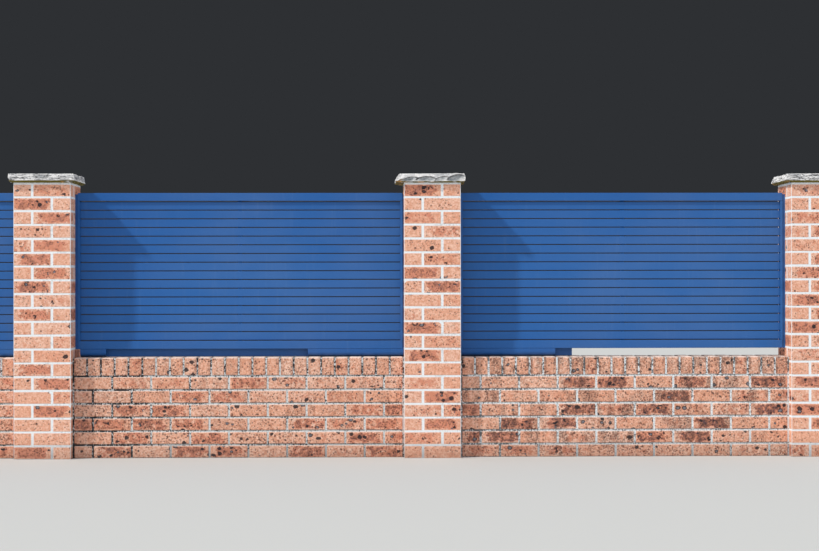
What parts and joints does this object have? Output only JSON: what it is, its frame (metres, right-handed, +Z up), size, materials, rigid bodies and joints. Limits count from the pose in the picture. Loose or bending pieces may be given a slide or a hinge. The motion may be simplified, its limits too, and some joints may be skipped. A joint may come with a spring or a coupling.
{
  "type": "brick garden wall with slatted metal panels",
  "caption": "Low brick garden wall in bays between square brick piers with rough stone caps, with a blue slatted metal screen over each low wall.",
  "frame": {"origin": "on the ground, in the middle of the wall's length and of its thickness", "axes": "+Z up, +X along the wall to the right as seen from the street, +Y from the street side toward the garden side"},
  "size_m": [7.61, 0.41, 1.755],
  "materials": {
    "brickwork": "fired clay face brick, salmon with darker flashed centres and iron spots",
    "mortar": "pale cement mortar, flush, weathered grey low down",
    "cap_stone": "weathered stone with pitched edges",
    "panel_paint": "satin mid blue powder coat",
    "fixing_paint": "satin mid blue powder coat, slightly darker"
  },
  "bodies": {
    "root": {"backing_board_1": "fixing_paint", "backing_board_2": "fixing_paint", "backing_board_3": "fixing_paint", "cap_bed_1": "mortar", "cap_bed_2": "mortar", "cap_bed_3": "mortar", "cap_bed_4": "mortar", "closer_1_left": "fixing_paint", "closer_1_right": "fixing_paint", "closer_2_left": "fixing_paint", "closer_2_right": "fixing_paint", "closer_3_left": "fixing_paint", "coping_1": "brickwork", "coping_2": "brickwork", "coping_3": "brickwork", "low_wall_1": "brickwork", "low_wall_2": "brickwork", "low_wall_3": "brickwork", "pier_1": "brickwork", "pier_2": "brickwork", "pier_3": "brickwork", "pier_4": "brickwork", "pier_cap_1": "cap_stone", "pier_cap_2": "cap_stone", "pier_cap_3": "cap_stone", "pier_cap_4": "cap_stone", "side_channel_1_left": "fixing_paint", "side_channel_1_right": "fixing_paint", "side_channel_2_left": "fixing_paint", "side_channel_2_right": "fixing_paint", "side_channel_3_left": "fixing_paint", "side_channel_3_right": "fixing_paint", "slat_panel_1": "panel_paint", "slat_panel_2": "panel_paint", "slat_panel_3": "panel_paint", "stiffener_1": "panel_paint", "stiffener_2": "panel_paint", "stiffener_3": "panel_paint"}
  },
  "joints": []
}
